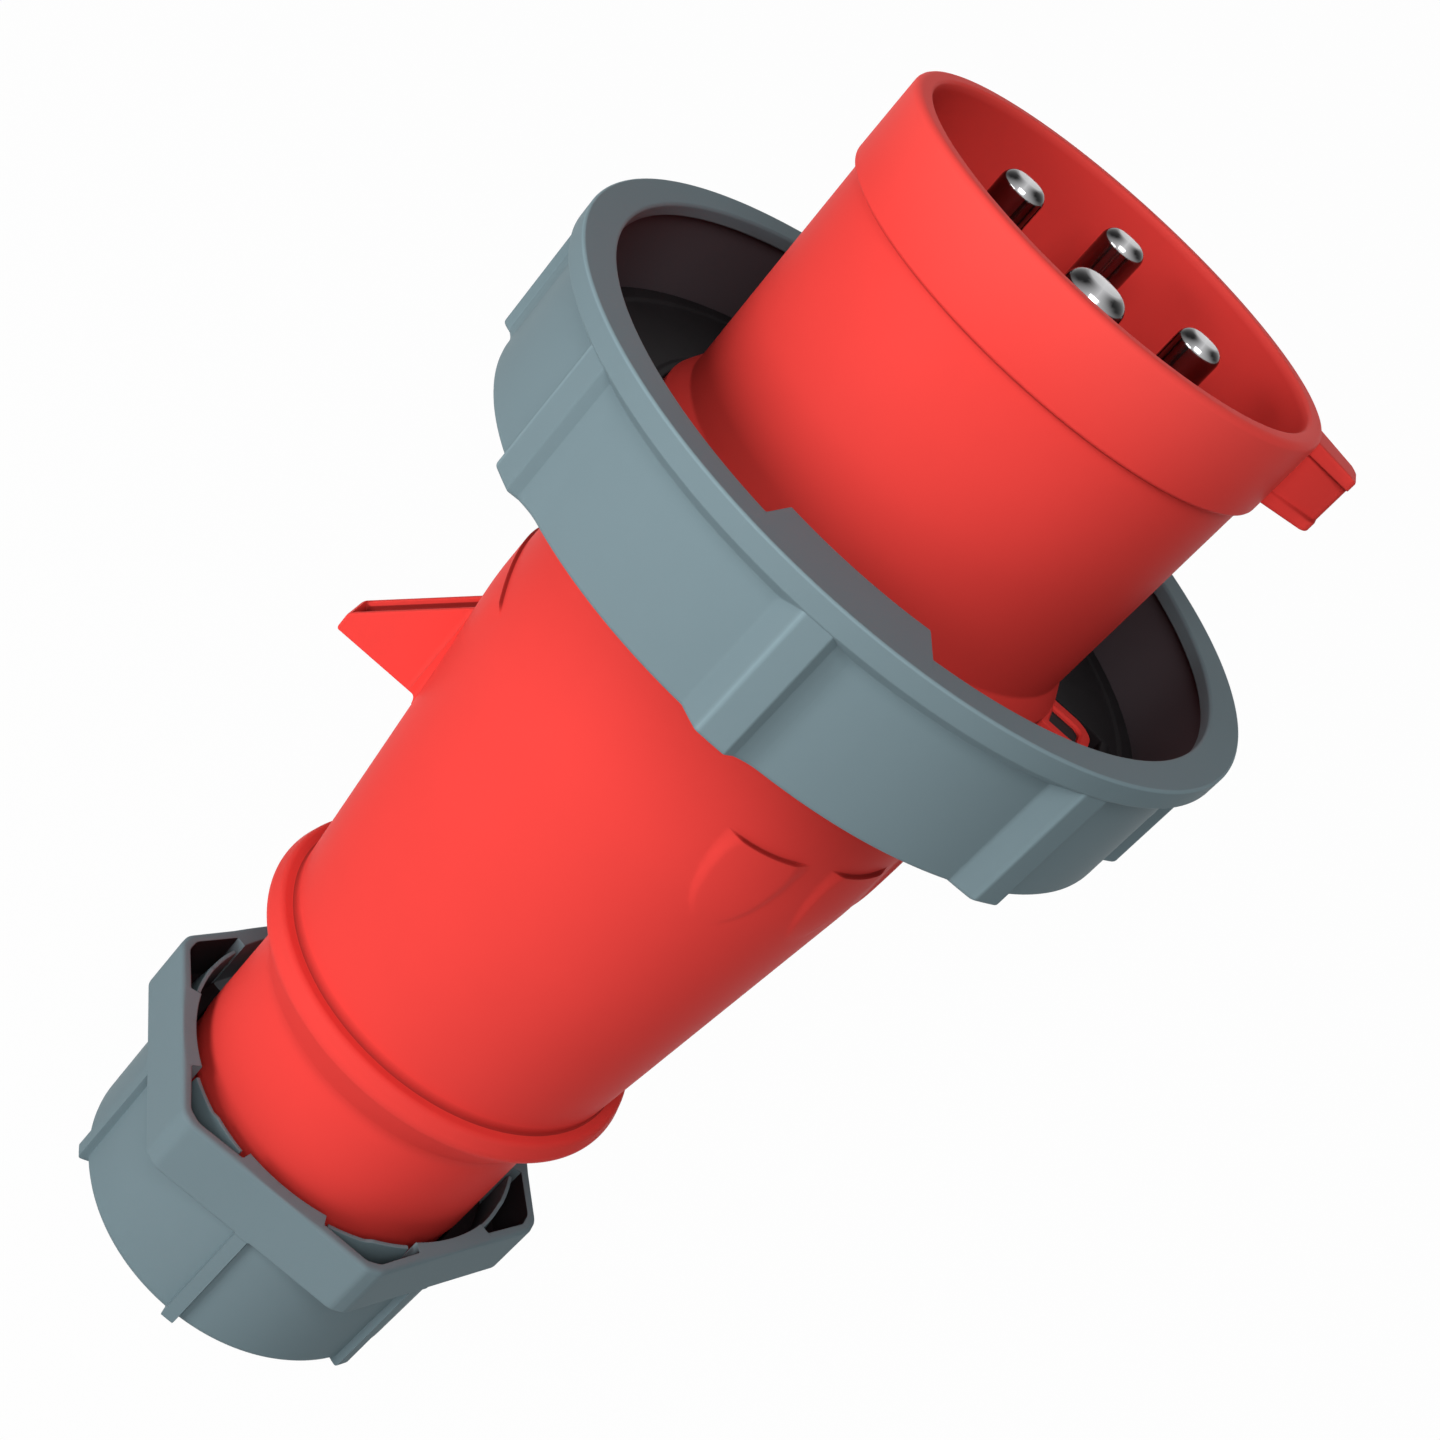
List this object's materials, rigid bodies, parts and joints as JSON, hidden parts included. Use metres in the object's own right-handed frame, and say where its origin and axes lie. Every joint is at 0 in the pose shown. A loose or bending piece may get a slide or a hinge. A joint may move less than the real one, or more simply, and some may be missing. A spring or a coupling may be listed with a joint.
{
  "type": "industrial pin and sleeve plug",
  "caption": "Watertight industrial plug with round pins in a keyed sleeve, a bayonet coupling ring, a tapered grip with a fin, and a hexagonal cable gland nut.",
  "frame": {"origin": "centre of the plug's base, on the gland nut's end face", "axes": "+Z along the plug from the cable end to the pins, +X towards the key on the sleeve, -Y towards the earth pin"},
  "size_m": [0.1016, 0.1016, 0.192],
  "materials": {
    "red_plastic": "smooth moulded, satin gloss",
    "grey_plastic": "fine moulded satin, blue grey",
    "seal_rubber": "black, matte",
    "carrier_plastic": "black, matte",
    "cage_plastic": "pale grey, matte",
    "plated_brass": "bright nickel plate",
    "screw_steel": "zinc plated"
  },
  "bodies": {
    "plug_body": {"sleeve_housing": "red_plastic", "grip_housing": "red_plastic", "face_gasket": "seal_rubber", "housing_seal": "seal_rubber", "pocket_seal": "seal_rubber", "cable_grommet": "seal_rubber", "pin_carrier": "carrier_plastic", "clamp_cage": "cage_plastic", "earth_pin": "plated_brass", "phase_1_pin": "plated_brass", "phase_2_pin": "plated_brass", "phase_3_pin": "plated_brass", "earth_screw": "screw_steel", "phase_1_screw": "screw_steel", "phase_2_screw": "screw_steel", "phase_3_screw": "screw_steel", "carrier_screw_1": "screw_steel", "carrier_screw_2": "screw_steel"},
    "bayonet_ring": {"coupling_ring": "grey_plastic"},
    "nut_carriage": {"thrust_washer": "cage_plastic"},
    "nut": {"gland_nut": "grey_plastic"}
  },
  "joints": [
    {"name": "ring_turn", "type": "hinge", "parent": "plug_body", "child": "bayonet_ring", "pos_m": [0, 0, 0.146], "axis": [0, 0, 1], "range_deg": [0, 42]},
    {"name": "nut_travel", "type": "slide", "parent": "plug_body", "child": "nut_carriage", "axis": [0, 0, 1], "range_m": [-0.0061, 0]},
    {"name": "nut_turn", "type": "hinge", "parent": "nut_carriage", "child": "nut", "pos_m": [0, 0, 0.0155], "axis": [0, 0, 1], "range_deg": [-720, 0]}
  ],
  "couplings": [
    {"joint": "nut_travel", "follows": "nut_turn", "m_per_rad": 0.00047746}
  ]
}
